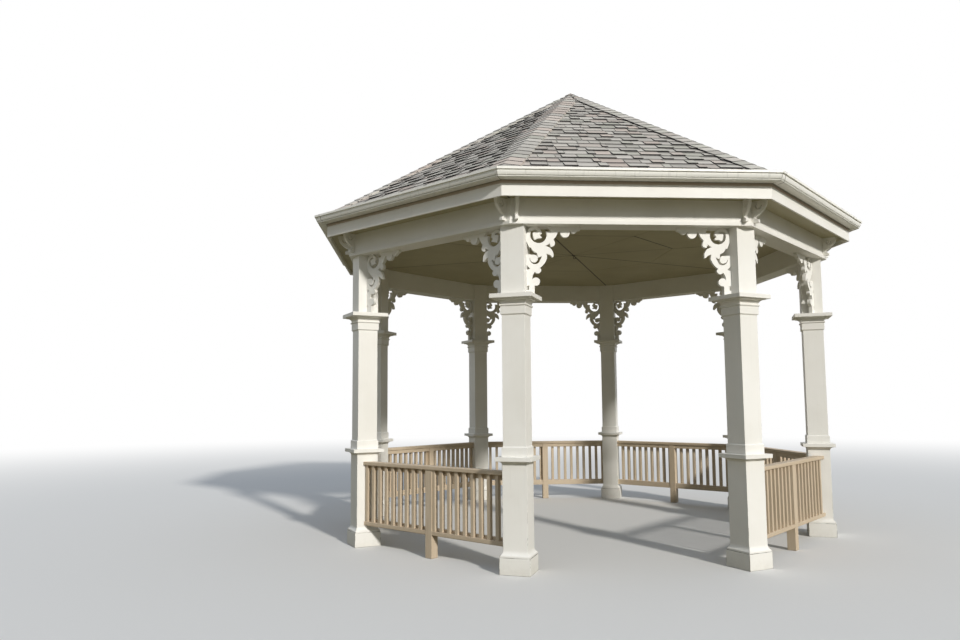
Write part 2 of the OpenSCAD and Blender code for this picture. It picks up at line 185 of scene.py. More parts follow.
def makeWorld(s):
    world = bpy.data.worlds.new("studio")
    bpy.context.scene.world = world
    tree = emptyTree(world)
    rays = put(tree, "ShaderNodeLightPath").outputs
    seen = sums(tree, "MAXIMUM", rays["Is Camera Ray"], rays["Is Glossy Ray"])
    seen = sums(tree, "MAXIMUM", seen, rays["Is Transmission Ray"])
    way = parts(tree, put(tree, "ShaderNodeTexCoord").outputs["Generated"])
    shade = blend(tree, ramp(tree, way["Z"], *s["fillRise"]), s["fillLow"], s["fillHigh"])
    fill = outOf(tree, "ShaderNodeBackground", {"Color": shade})
    back = outOf(tree, "ShaderNodeBackground", {"Color": (1, 1, 1, 1), "Strength": s["background"]})
    mixed = outOf(tree, "ShaderNodeMixShader", {0: seen, 1: fill, 2: back})
    put(tree, "ShaderNodeOutputWorld", {"Surface": mixed})


def makeFloor(s):
    mesh = bpy.data.meshes.new("floor")
    disc = bmesh.new()
    bmesh.ops.create_circle(disc, cap_ends=True, segments=s["floorCorners"], radius=s["floorRadius"])
    disc.to_mesh(mesh)
    disc.free()
    floor = linked("floor", mesh)
    floor.location.z = -s["floorDrop"]
    material, tree = newMaterial("palefloor")
    away = lengthOf(tree, objectPlace(tree))
    fade = ramp(tree, away, *s["floorFade"], interpolation_type="SMOOTHSTEP")
    seen = put(tree, "ShaderNodeLightPath").outputs["Is Camera Ray"]
    # the floor sends less light up than it shows, so that ceiling and eaves keep their shade
    shade = blend(tree, seen, s["floorBounce"], s["floorColour"])
    plain = outOf(tree, "ShaderNodeBsdfDiffuse", {"Color": shade})
    bright = outOf(tree, "ShaderNodeEmission", {"Color": (1, 1, 1, 1), "Strength": s["background"]})
    mixed = outOf(tree, "ShaderNodeMixShader", {0: times(tree, fade, seen), 1: plain, 2: bright})
    put(tree, "ShaderNodeOutputMaterial", {"Surface": mixed})
    mesh.materials.append(material)


makeCamera(camera)
makeKey(studio)
makeWorld(studio)
makeFloor(studio)
print("camera and studio ready")


# Materials. Each one starts with its own tree and ends in one Principled shader. In their settings a noise is
# a dictionary, ends are the values at which its mask starts and is full, and a share is how much is laid on.
def closeMaterial(tree, colour, roughness, height, distance, **sockets):
    # height is in the bump's own units, distance is its depth in metres
    bump = outOf(tree, "ShaderNodeBump", {"Strength": 1.0, "Distance": distance, "Height": height})
    feeds = {"Base Color": colour, "Roughness": roughness, "Normal": bump, **sockets}
    shader = outOf(tree, "ShaderNodeBsdfPrincipled", feeds)
    put(tree, "ShaderNodeOutputMaterial", {"Surface": shader})


def attributeOf(tree, label, socket="Fac"):
    return put(tree, "ShaderNodeAttribute", attribute_name=label).outputs[socket]


def noise(tree, where, n):
    if "stretch" in n:
        where = outOf(tree, "ShaderNodeMapping", {"Vector": where, "Scale": n["stretch"]})
    feeds = {"Vector": where, "Scale": n["scale"], "Detail": n.get("detail", 3.0),
             "Roughness": n.get("roughness", 0.55)}
    return put(tree, "ShaderNodeTexNoise", feeds).outputs["Fac"]


def noiseMask(tree, where, n):
    return ramp(tree, noise(tree, where, n), *n["ends"])


def aroundPlan(tree, where, shift):
    # the nearest of eight directions from the middle, the angle from it, and the distance from the middle;
    # shift is 0.5 for the directions of the corners and 0 for those of the sides
    axes = parts(tree, where)
    turn = sums(tree, "MULTIPLY_ADD", sums(tree, "ARCTAN2", axes[1], axes[0]), 1 / sideTurn, shift)
    nearest = sums(tree, "ROUND", turn)
    angle = times(tree, minus(tree, turn, nearest), sideTurn)
    level = outOf(tree, "ShaderNodeVectorMath", {0: where, 1: (1, 1, 0)}, operation="MULTIPLY")
    return nearest, angle, lengthOf(tree, level)


def lineMask(tree, distance, half, core=0.6):
    return ramp(tree, sums(tree, "ABSOLUTE", distance), half, half * core)


def seamMask(tree, where, half):
    # 1 on the upright planes through the octagon's corners
    nearest, angle, reach = aroundPlan(tree, where, 0.5)
    return lineMask(tree, times(tree, angle, reach), half)


# The ceiling's joints run towards the columns and round the middle panels. The open ones are dark. Each list
# says how dark, going round from -X, where the side's two halves are counted apart.
ceilingJoints = dict(colour=(0.05, 0.043, 0.03), half=0.012, groupOut=1.267 * math.cos(halfTurn),
                     toColumns=(0.5, 0.95, 0.1, 0.45, 0.9, 0.95, 0.1, 0.7),
                     roundMiddle=(0.4, 0.6, 0.5, 0.9, 0.0, 0.1, 0.45, 0.3, 0.4))


def jointMask(tree, where, j):
    column, angle, reach = aroundPlan(tree, where, 0.5)
    toColumns = lineMask(tree, times(tree, angle, reach), j["half"])
    side, angle, reach = aroundPlan(tree, where, 0.0)
    out = times(tree, reach, sums(tree, "COSINE", angle))
    roundMiddle = lineMask(tree, minus(tree, out, j["groupOut"]), j["half"])
    total = 0.0
    for line, nearest, lowest, shares in ((toColumns, column, -3, j["toColumns"]),
                                          (roundMiddle, side, -4, j["roundMiddle"])):
        for number, share in enumerate(shares, lowest):
            here = sums(tree, "COMPARE", nearest, number, 0.1)
            total = sums(tree, "MAXIMUM", total, times(tree, times(tree, line, here), share))
    return total


# Hairline cracks along the columns' mitred corners and over their plinths, read in each column's own axes.
columnCracks = dict(colour=(0.10, 0.085, 0.065), share=0.85, corner=(0.005, 0.00175), fadeUp=(0.75, 0.10),
                    broken=dict(stretch=(1, 1, 5), scale=1.9, detail=5, roughness=0.65, ends=(0.46, 0.54)),
                    levels=(0.1515,), levelHalf=0.003, uneven=dict(scale=6, ends=(0.30, 0.60)))


def crackMask(tree, where, c):
    axes = parts(tree, attributeOf(tree, "local", "Vector"))
    corner = minus(tree, sums(tree, "ABSOLUTE", axes[0]), sums(tree, "ABSOLUTE", axes[1]))
    edge = ramp(tree, sums(tree, "ABSOLUTE", corner), *c["corner"])
    crack = times(tree, edge, noiseMask(tree, where, c["broken"]))
    crack = times(tree, crack, ramp(tree, axes[2], *c["fadeUp"]))
    uneven = noiseMask(tree, where, c["uneven"])
    for level in c["levels"]:
        gap = lineMask(tree, minus(tree, axes[2], level), c["levelHalf"])
        crack = sums(tree, "MAXIMUM", crack, times(tree, gap, uneven))
    return crack


# Painted wood: brushed coats over a faint grain, thin runs of dirt and splashes near the ground.
woodPaint = dict(colour=(0.86, 0.85, 0.81), shade=(0.80, 0.785, 0.735), grime=(0.36, 0.33, 0.26),
                 coats=dict(scale=1.7, ends=(0.40, 0.75)), fibres=dict(scale=22, detail=4),
                 fibreEnds=(0.55, 0.85), fibreShare=0.22, grainDepth=0.0005,
                 runs=dict(stretch=(14, 14, 0.9), scale=2.4, detail=5, roughness=0.6, ends=(0.60, 0.82)),
                 runShare=0.10, patches=dict(scale=14, detail=6, roughness=0.68), rough=(0.40, 0.56),
                 splashHeight=0.12, splashLift=0.42, splashEnds=(0.60, 0.98), splashShare=0.13,
                 specks=dict(scale=55, roughness=0.7, ends=(0.74, 0.80)), speckShare=0.16)


def paintedWood(name, p, grain, shadowBand=None, joints=None, cracks=None):
    # grain is the texture scale on X, Y and Z: small along the boards, large across them
    material, tree = newMaterial(name)
    where = objectPlace(tree)
    height = parts(tree, where)["Z"]
    fibres = noise(tree, where, dict(p["fibres"], stretch=grain))
    patches = noise(tree, where, p["patches"])
    colour = blend(tree, noiseMask(tree, where, p["coats"]), p["colour"], p["shade"])
    colour = laid(tree, colour, p["shade"], ramp(tree, fibres, *p["fibreEnds"]), p["fibreShare"])
    colour = laid(tree, colour, p["grime"], noiseMask(tree, where, p["runs"]), p["runShare"])
    low = ramp(tree, height, 0.0, p["splashHeight"], p["splashLift"], 0.0)
    splash = ramp(tree, plus(tree, low, patches), *p["splashEnds"])
    colour = laid(tree, colour, p["grime"], splash, p["splashShare"])
    colour = laid(tree, colour, p["grime"], noiseMask(tree, where, p["specks"]), p["speckShare"])
    relief = fibres
    # a band painted brown from a height upwards: painted shade below the gutter
    if shadowBand:
        edge = sums(tree, "MULTIPLY_ADD", patches, shadowBand["uneven"], height)
        above = ramp(tree, edge, shadowBand["start"], shadowBand["start"] + shadowBand["soft"])
        colour = laid(tree, colour, shadowBand["colour"], above, shadowBand["share"])
    if joints:
        colour = blend(tree, jointMask(tree, where, joints), colour, joints["colour"])
    if cracks:
        crack = crackMask(tree, where, cracks)
        colour = laid(tree, colour, cracks["colour"], crack, cracks["share"])
        relief = minus(tree, fibres, crack)
    closeMaterial(tree, colour, ramp(tree, patches, 0, 1, *p["rough"]), relief, p["grainDepth"])
    return material


# A brown band painted on the boards behind the gutter, starting just below it: painted shade for the gutter's
# shadow on the fascia
gutterLow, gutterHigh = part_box("gutter")
gutterShadowBand = dict(colour=(0.36, 0.24, 0.15), share=0.75, start=gutterLow.z - 0.026, uneven=0.012, soft=0.008)

grains = dict(upright=(1, 1, 0.05), level=(0.06, 0.06, 1), ceiling=(0.1, 0.1, 1))
columnPaint = paintedWood("columnpaint", woodPaint, grains["upright"], cracks=columnCracks)
uprightPaint = paintedWood("uprightpaint", dict(woodPaint, runShare=0.16), grains["upright"])
levelPaint = paintedWood("levelpaint", woodPaint, grains["level"], shadowBand=gutterShadowBand)
# Ceiling and soffit boards: the cream paint darkened and tinted olive, as painted shade for the dim light
# under the roof
shadedCeilingPaint = dict(woodPaint, colour=(0.48, 0.44, 0.29), shade=(0.42, 0.38, 0.245), runShare=0.0,
                    grainDepth=0.0003)
shadedBoardPaint = paintedWood("shadedceilingpaint", shadedCeilingPaint, grains["ceiling"], joints=ceilingJoints)

# Railing stain: warm tan, with a painted highlight making the upper faces paler, and grain along each board.
railStain = dict(colour=(0.57, 0.465, 0.335), dark=(0.42, 0.325, 0.225), pale=(0.72, 0.61, 0.475),
                 fibres=dict(stretch=(0.8, 26, 26), scale=5, detail=5, roughness=0.6),
                 fibreEnds=(0.42, 0.78), fibreShare=0.7,
                 bands=dict(stretch=(0.5, 7, 7), scale=4, detail=2, ends=(0.40, 0.70)), bandShare=0.35,
                 toneShare=0.25, upwardEnds=(0.4, 1), upwardShare=0.45, rough=(0.55, 0.8), grainDepth=0.0009)


def stainedWood(p):
    material, tree = newMaterial("railstain")
    along = attributeOf(tree, "grain", "Vector")
    fibres = noise(tree, along, p["fibres"])
    colour = laid(tree, p["colour"], p["dark"], ramp(tree, fibres, *p["fibreEnds"]), p["fibreShare"])
    colour = laid(tree, colour, p["pale"], noiseMask(tree, along, p["bands"]), p["bandShare"])
    colour = laid(tree, colour, p["pale"], attributeOf(tree, "tone"), p["toneShare"])
    # upper faces painted paler: painted highlight for light from above
    upward = parts(tree, put(tree, "ShaderNodeNewGeometry").outputs["Normal"])["Z"]
    colour = laid(tree, colour, p["pale"], ramp(tree, upward, *p["upwardEnds"]), p["upwardShare"])
    closeMaterial(tree, colour, ramp(tree, fibres, 0, 1, *p["rough"]), fibres, p["grainDepth"])
    return material


railWood = stainedWood(railStain)

# Mineral-faced shingles: every tab has its own tone, dark edges that are cut edges and partly painted shade,
# and a dark band below the next course that is partly print and partly painted shade under that course's butt.
shinglePaint = dict(colour=(0.46, 0.435, 0.40), pale=(0.60, 0.575, 0.53), dark=(0.33, 0.315, 0.29),
                    warm=(0.58, 0.46, 0.40), warmEnds=(0.72, 1.0), warmShare=0.55,
                    green=(0.42, 0.44, 0.36), greenEnds=(0.26, 0.0), greenShare=0.45,
                    granules=dict(scale=260, detail=2, roughness=0.7), granuleEnds=(0.42, 0.7),
                    granuleShare=0.45, granuleDepth=0.0012, rough=(0.82, 0.97),
                    clouds=dict(scale=7, detail=4, roughness=0.6), cloudShare=0.35, toneShare=0.65,
                    toneEnds=(0.05, 0.95), band=(0.085, 0.08, 0.075), bandUneven=0.06, bandTurns=7.3,
                    bandEnds=(0.30, 0.60), bandShares=(0.34, 0.24),
                    edge=(0.035, 0.033, 0.032), cutEnds=(0.5, 0.6))


def mineralShingle(name, p, lift, bandPlace):
    # lift makes all tones paler, bandPlace is where on a tab's length its band starts and is full
    material, tree = newMaterial(name)
    where = objectPlace(tree)
    tone, hue, rise, cut = [attributeOf(tree, label) for label in ("tone", "hue", "rise", "cut")]
    granules = noise(tree, where, p["granules"])
    clouds = noise(tree, where, p["clouds"])
    shade = plus(tree, times(tree, clouds, p["cloudShare"]), times(tree, tone, p["toneShare"]))
    darkest, palest = p["toneEnds"]
    colour = blend(tree, ramp(tree, shade, darkest - lift, palest - lift), p["dark"], p["pale"])
    colour = laid(tree, colour, p["warm"], ramp(tree, hue, *p["warmEnds"]), p["warmShare"])
    colour = laid(tree, colour, p["green"], ramp(tree, hue, *p["greenEnds"]), p["greenShare"])
    colour = laid(tree, colour, p["colour"], ramp(tree, granules, *p["granuleEnds"]), p["granuleShare"])
    # the band: the shingles' printed dark band, and painted shade under the next course's butt
    band = ramp(tree, sums(tree, "MULTIPLY_ADD", clouds, p["bandUneven"], rise), *bandPlace)
    drawn = sums(tree, "FRACT", times(tree, tone, p["bandTurns"]))
    weight = sums(tree, "MULTIPLY_ADD", ramp(tree, drawn, *p["bandEnds"]), *p["bandShares"])
    colour = laid(tree, colour, p["band"], band, weight)
    # faces marked dark: the tabs' cut edges, partly painted shade, and the side of each hip cap away from the
    # key, painted shade
    colour = blend(tree, ramp(tree, cut, *p["cutEnds"]), colour, p["edge"])
    closeMaterial(tree, colour, ramp(tree, granules, 0, 1, *p["rough"]), granules, p["granuleDepth"])
    return material


slopeShingle = mineralShingle("slopeshingle", shinglePaint, lift=0.0, bandPlace=(0.60, 0.65))
hipShingle = mineralShingle("hipshingle", shinglePaint, lift=0.12, bandPlace=(0.95, 1.1))

# Gutter: factory-painted sheet, glossier than the wood, with faint run marks and sealed seams at the corners.
gutterPaint = dict(colour=(0.86, 0.855, 0.81), grime=(0.35, 0.34, 0.30), dark=(0.12, 0.105, 0.085),
                   streaks=dict(stretch=(12, 12, 0.8), scale=2.5, detail=5, roughness=0.6),
                   streakEnds=(0.55, 0.8), streakShare=0.35, rough=(0.28, 0.46),
                   waves=dict(scale=1.8, detail=2), waveDepth=0.002,
                   darkeningUneven=0.5, darkeningEnds=(0.55, 1.0), darkeningShare=0.85, seam=0.0035, seamShare=0.8)


def paintedSheet(p):
    material, tree = newMaterial("gutterpaint")
    where = objectPlace(tree)
    streaks = noise(tree, where, p["streaks"])
    colour = laid(tree, p["colour"], p["grime"], ramp(tree, streaks, *p["streakEnds"]), p["streakShare"])
    # this attribute darkens each sleeve towards its end, and the bed along the fascia, where the dark is
    # painted shade in the corner against the fascia
    darkening = sums(tree, "MULTIPLY_ADD", streaks, p["darkeningUneven"], attributeOf(tree, "darkening"))
    colour = laid(tree, colour, p["dark"], ramp(tree, darkening, *p["darkeningEnds"]), p["darkeningShare"])
    colour = laid(tree, colour, p["dark"], seamMask(tree, where, p["seam"]), p["seamShare"])
    rough = ramp(tree, streaks, 0, 1, *p["rough"])
    closeMaterial(tree, colour, rough, noise(tree, where, p["waves"]), p["waveDepth"])
    return material


sheetPaint = paintedSheet(gutterPaint)

hookMetal = dict(colour=(0.10, 0.095, 0.09), rust=(0.20, 0.10, 0.055), metal=0.6, rough=(0.4, 0.75),
                 specks=dict(scale=160, detail=4, roughness=0.7), speckEnds=(0.5, 0.7), speckDepth=0.0004)


def weatheredSteel(p):
    material, tree = newMaterial("hooksteel")
    specks = noise(tree, objectPlace(tree), p["specks"])
    colour = blend(tree, ramp(tree, specks, *p["speckEnds"]), p["colour"], p["rust"])
    rough = ramp(tree, specks, 0, 1, *p["rough"])
    closeMaterial(tree, colour, rough, specks, p["speckDepth"], Metallic=p["metal"])
    return material


hookSteel = weatheredSteel(hookMetal)
print("materials ready")


# Meshes and pieces
def meshOf(name, points, faces):
    mesh = bpy.data.meshes.new(name)
    mesh.from_pydata([tuple(p) for p in points], [], faces)
    mesh.update()
    return mesh


def mark(mesh, label, values, kind="FLOAT", domain="POINT"):
    # an attribute that the materials read
    field = "vector" if kind == "FLOAT_VECTOR" else "value"
    mesh.attributes.new(label, kind, domain).data.foreach_set(field, values)


def smoothed(mesh, angle):
    # smooth shading up to the angle, in degrees
    mesh.shade_smooth()
    mesh.set_sharp_from_angle(angle=math.radians(angle))


def finishPiece(piece, material, slot, *nodes):
    piece.data.materials.clear()
    piece.data.materials.append(material)
    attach(piece, "root")
    if nodes:
        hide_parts(*nodes)


def frozen(piece):
    # What the modifiers make becomes the piece's own plain mesh.
    graph = bpy.context.evaluated_depsgraph_get()
    mesh = bpy.data.meshes.new_from_object(piece.evaluated_get(graph))
    piece.modifiers.clear()
    piece.data = mesh


def flattened(piece, keepSharp):
    # flat faces stay flat up to their eased edges
    flatten = piece.modifiers.new("flatten", "WEIGHTED_NORMAL")
    flatten.keep_sharp = keepSharp
    frozen(piece)


merging = dict(distance=1e-5, flatAngle=0.5)


def mergedCopy(node, name):
    # A CAD node's triangles joined up, with its flat faces whole again.
    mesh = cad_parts[node].data.copy()
    mesh.name = name
    shape = bmesh.new()
    shape.from_mesh(mesh)
    bmesh.ops.remove_doubles(shape, verts=shape.verts, dist=merging["distance"])
    bmesh.ops.dissolve_limit(shape, angle_limit=math.radians(merging["flatAngle"]), verts=shape.verts,
                             edges=shape.edges)
    shape.to_mesh(mesh)
    shape.free()
    return mesh


def joined(name, meshes):
    shape = bmesh.new()
    for mesh in meshes:
        shape.from_mesh(mesh)
    whole = bpy.data.meshes.new(name)
    shape.to_mesh(whole)
    shape.free()
    return whole


# Woodwork: each piece is its CAD node, most of them with eased edges. Metres, and degrees for the angles.
woodwork = dict(columnEase=0.0022, bracketEase=0.0025, beamEase=0.002, corbelEase=0.0018, noEase=0.0,
                easeSteps=2, easeAngle=35, sharpAngle=50)


def dressed(node, name, paint, slot, ease, w=woodwork):
    piece = linked(name, mergedCopy(node, name))
    smoothed(piece.data, w["sharpAngle"])
    if ease:
        soften = piece.modifiers.new("soften", "BEVEL")
        soften.width = ease
        soften.segments = w["easeSteps"]
        soften.limit_method = "ANGLE"
        soften.angle_limit = math.radians(w["easeAngle"])
    flattened(piece, not ease)
    finishPiece(piece, paint, slot, node)
    return piece


# Geometry node helpers
def groupTree(name, counts, measures):
    # counts and measures are the names of its inputs, besides the geometry
    tree = bpy.data.node_groups.new(name, "GeometryNodeTree")
    for kind, labels in (("Geometry", ["Geometry"]), ("Int", counts), ("Float", measures)):
        for label in labels:
            tree.interface.new_socket(label, in_out="INPUT", socket_type="NodeSocket" + kind)
    tree.interface.new_socket("Geometry", in_out="OUTPUT", socket_type="NodeSocketGeometry")
    return tree, put(tree, "NodeGroupInput").outputs


def closeTree(tree, geometry, material):
    painted = outOf(tree, "GeometryNodeSetMaterial", {"Geometry": geometry, "Material": material})
    put(tree, "NodeGroupOutput", {0: painted})


def grown(name, tree, values, mesh=None):
    # A piece whose mesh is what the tree makes from these values and the given mesh.
    piece = linked(name, mesh or bpy.data.meshes.new(name))
    modifier = piece.modifiers.new(name, "NODES")
    modifier.node_group = tree
    for item in tree.interface.items_tree:
        if item.in_out == "INPUT" and item.name in values:
            modifier[item.identifier] = values[item.name]
    frozen(piece)
    return piece


def randomOf(tree, low, high, identity, seed):
    feeds = {2: low, 3: high, 7: identity, 8: seed}
    return put(tree, "FunctionNodeRandomValue", feeds, data_type="FLOAT").outputs[1]


def stored(tree, geometry, label, value, kind="FLOAT"):
    feeds = {"Geometry": geometry, "Name": label, "Value": value}
    return outOf(tree, "GeometryNodeStoreNamedAttribute", feeds, data_type=kind, domain="POINT")


def named(tree, label, kind="FLOAT"):
    return outOf(tree, "GeometryNodeInputNamedAttribute", {"Name": label}, data_type=kind)


def without(tree, geometry, *labels):
    for label in labels:
        geometry = outOf(tree, "GeometryNodeRemoveAttribute", {"Geometry": geometry, "Name": label})
    return geometry


def vectorOf(tree, x=0.0, y=0.0, z=0.0):
    return outOf(tree, "ShaderNodeCombineXYZ", {0: x, 1: y, 2: z})


def pointPlace(tree):
    return parts(tree, outOf(tree, "GeometryNodeInputPosition"))


def movedTo(tree, geometry, x, y, z=0.0):
    return outOf(tree, "GeometryNodeSetPosition", {"Geometry": geometry, "Position": vectorOf(tree, x, y, z)})


def within(tree, value, limit):
    # the value kept between -limit and limit, and at 0 where the limit is below it
    limit = sums(tree, "MAXIMUM", limit, 0.0)
    return sums(tree, "MINIMUM", sums(tree, "MAXIMUM", value, times(tree, limit, -1.0)), limit)


def copiesOf(tree, source, points, **feeds):
    # the source's mesh on each point, made real
    shape = put(tree, "GeometryNodeObjectInfo", {"Object": source}).outputs["Geometry"]
    copies = outOf(tree, "GeometryNodeInstanceOnPoints", {"Points": points, "Instance": shape, **feeds})
    return outOf(tree, "GeometryNodeRealizeInstances", {0: copies})


# Roof: courses run across each slope, and folded caps lie along the hips. Metres, and degrees for the pitch.
roof = dict(pitch=33.4, deckDrop=0.01, flush=0.002, exposure=0.143, tabPitch=0.15, spareTabs=4, overlap=0.02,
            jointSpread=0.70, jointGap=0.009, thinButt=0.0075, thickButt=0.0165, thickChance=(0.10, 0.78),
            tailShare=0.12, sunkShare=0.3, welded=0.0002,
            capWing=0.148, capExposure=0.132, capButt=0.014, capTail=0.006, capSide=0.016, capOverlap=0.03,
            capRounding=0.02, capLift=0.0012, capSink=0.008, sinkFrom=0.25, sinkTo=0.10,
            slopeSeed=100, seedStride=211, shiftSalt=7, thickSeed=31, toneSeed=57, hueSeed=83,
            hipSeed=300, hipToneSalt=11, hipHueSalt=29)
pitch = math.radians(roof["pitch"])
roofLow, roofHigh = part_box("roof_1")
roofEdge = -roofLow.y
roofRise = roofEdge * math.tan(pitch)
eaveHeight = roofHigh.z - roofRise
slopeLength = roofEdge / math.cos(pitch)
halfEave = roofEdge * math.tan(halfTurn)
cornerOut = roofEdge / math.cos(halfTurn)
hipSlope = math.atan2(roofRise, cornerOut)
hipLength = math.hypot(cornerOut, roofRise)


def shingleTree(tab, material, r):
    # Local axes: X along the eave, Y up the slope, Z out of it. The eave's middle is the origin.
    tree, given = groupTree("shingle courses", ("Courses", "Columns", "Seed"), (
        "Exposure", "Pitch", "Spread", "Gap", "Thin Butt", "Thick Butt", "Half Eave", "Narrowing"))
    wide = times(tree, minus(tree, given["Columns"], 1.0), given["Pitch"])
    tall = times(tree, minus(tree, given["Courses"], 1.0), given["Exposure"])
    grid = outOf(tree, "GeometryNodeMeshGrid", {
        "Size X": wide, "Size Y": tall, "Vertices X": given["Columns"], "Vertices Y": given["Courses"]})
    spot = pointPlace(tree)
    butt = plus(tree, spot[1], times(tree, tall, 0.5))
    fromEdge = plus(tree, spot[0], times(tree, wide, 0.5))
    column = sums(tree, "ROUND", sums(tree, "DIVIDE", fromEdge, given["Pitch"]))
    course = sums(tree, "ROUND", sums(tree, "DIVIDE", butt, given["Exposure"]))
    courseShift = randomOf(tree, -0.5, 0.5, course, plus(tree, given["Seed"], r["shiftSalt"]))
    identity = sums(tree, "MULTIPLY_ADD", course, r["seedStride"], column)

    def jointAt(which, start):
        spread = randomOf(tree, -0.5, 0.5, which, given["Seed"])
        spread = sums(tree, "MULTIPLY_ADD", spread, given["Spread"], courseShift)
        return sums(tree, "MULTIPLY_ADD", spread, given["Pitch"], start)

    left = jointAt(identity, spot[0])
    right = jointAt(plus(tree, identity, 1.0), plus(tree, spot[0], given["Pitch"]))
    nearest = sums(tree, "MAXIMUM", left, times(tree, right, -1.0))
    limit = minus(tree, given["Half Eave"], times(tree, butt, given["Narrowing"]))
    outside = sums(tree, "GREATER_THAN", plus(tree, nearest, given["Gap"]), limit)
    middle = times(tree, plus(tree, left, right), 0.5)
    width = minus(tree, minus(tree, right, left), given["Gap"])
    # thick tabs and thin ones mostly take turns
    least, more = r["thickChance"]
    turn = sums(tree, "MODULO", plus(tree, column, course), 2.0)
    chance = sums(tree, "MULTIPLY_ADD", turn, more, least)
    thick = sums(tree, "LESS_THAN", randomOf(tree, 0, 1, identity, r["thickSeed"]), chance)
    step = minus(tree, given["Thick Butt"], given["Thin Butt"])
    height = sums(tree, "MULTIPLY_ADD", thick, step, given["Thin Butt"])

    points = grid
    for label, value in (("middle", middle), ("width", width), ("height", height), ("outside", outside),
                         ("tone", randomOf(tree, 0, 1, identity, r["toneSeed"])),
                         ("hue", randomOf(tree, 0, 1, identity, r["hueSeed"]))):
        points = stored(tree, points, label, value)
    points = movedTo(tree, points, named(tree, "middle"), butt)
    kept = sums(tree, "LESS_THAN", named(tree, "outside"), 0.5)
    size = vectorOf(tree, named(tree, "width"), 1.0, named(tree, "height"))
    tabs = copiesOf(tree, tab, points, Selection=kept, Scale=size)
    # the ends of each course are trimmed along the hips
    spot = pointPlace(tree)
    limit = minus(tree, given["Half Eave"], times(tree, spot[1], given["Narrowing"]))
    trimmed = movedTo(tree, tabs, within(tree, spot[0], limit), spot[1], spot[2])
    trimmed = outOf(tree, "GeometryNodeMergeByDistance", {"Geometry": trimmed, "Distance": r["welded"]})
    closeTree(tree, without(tree, trimmed, "middle", "width", "height", "outside"), material)
    return tree


def laidTab(name, across, length, thin, sunk, litSides=0):
    # One tab from its butt at Y = 0 up to its length. across lists the X and Z of its upper face at the butt,
    # thin is that face's height at the other end, and sunk is how far the underside lies below Z = 0.
    count = len(across)
    highest = max(z for x, z in across)
    points = [(x, 0, z) for x, z in across]
    for along, height in ((length, thin), (0, -sunk), (length, -sunk)):
        points += [(x, along, z - highest + height) for x, z in across]
    top, far, under, farUnder = [range(k * count, (k + 1) * count) for k in range(4)]
    faces = [(top[k], top[k + 1], far[k + 1], far[k]) for k in range(count - 1)]
    for k in range(count - 1):
        faces.append((under[k + 1], under[k], farUnder[k], farUnder[k + 1]))
        faces.append((under[k], under[k + 1], top[k + 1], top[k]))
        faces.append((farUnder[k + 1], farUnder[k], far[k], far[k + 1]))
    faces.append((under[0], top[0], far[0], farUnder[0]))
    faces.append((top[-1], under[-1], farUnder[-1], far[-1]))
    mesh = meshOf(name, points, faces)
    # upper faces, and as many of the last faces as are left lit, are mineral; the other faces are marked dark,
    # as cut edges and partly painted shade
    mineral = [*range(count - 1), *range(len(faces) - litSides, len(faces))]
    mark(mesh, "cut", [0.0 if index in mineral else 1.0 for index in range(len(faces))], domain="FACE")
    mark(mesh, "rise", [vertex.co.y / length for vertex in mesh.vertices])
    tab = linked(name, mesh)
    tab.hide_render = True
    return tab


def roofMatrix(level, out, rise):
    # on a slope or a hip: X along the eave, Y up at the angle rise, Z away from the roof
    axes = Matrix(((0, 1, 0), (-math.cos(rise), 0, math.sin(rise)), (math.sin(rise), 0, math.cos(rise))))
    return level @ Matrix.Translation((out, 0, eaveHeight)) @ axes.transposed().to_4x4()


def slopeDeck(side, place, r):
    # The slope's boards, their top lowered to leave room for the shingles.
    mesh = mergedCopy(f"roof_{side}", f"deck_{side}")
    slope = place.inverted()
    drop = Vector((0, 0, r["deckDrop"] / math.cos(pitch)))
    for vertex in mesh.vertices:
        if (slope @ vertex.co).z > -r["flush"]:
            vertex.co -= drop
    return mesh


def makeSlopes(r):
    tab = laidTab("tab", [(-0.5, 1), (0.5, 1)], r["exposure"] + r["overlap"], r["tailShare"], r["sunkShare"])
    tree = shingleTree(tab, slopeShingle, r)
    courses = math.floor(slopeLength / r["exposure"])
    columns = math.ceil(2 * halfEave / r["tabPitch"]) + r["spareTabs"]
    for side in numbers:
        piece = grown(f"shingles_{side}", tree, {
            "Courses": courses, "Columns": columns, "Exposure": r["exposure"], "Pitch": r["tabPitch"],
            "Spread": r["jointSpread"], "Gap": r["jointGap"], "Thin Butt": r["thinButt"],
            "Thick Butt": r["thickButt"], "Half Eave": halfEave, "Narrowing": halfEave / slopeLength,
            "Seed": r["slopeSeed"] + side})
        place = roofMatrix(sideMatrix(side), roofEdge, pitch)
        piece.data.transform(Matrix.Translation((0, 0, -r["deckDrop"])))
        piece.data.transform(place)
        piece.data = joined(piece.name, [piece.data, slopeDeck(side, place, r)])
        finishPiece(piece, slopeShingle, "shingles", f"roof_{side}")
    bpy.data.objects.remove(tab)


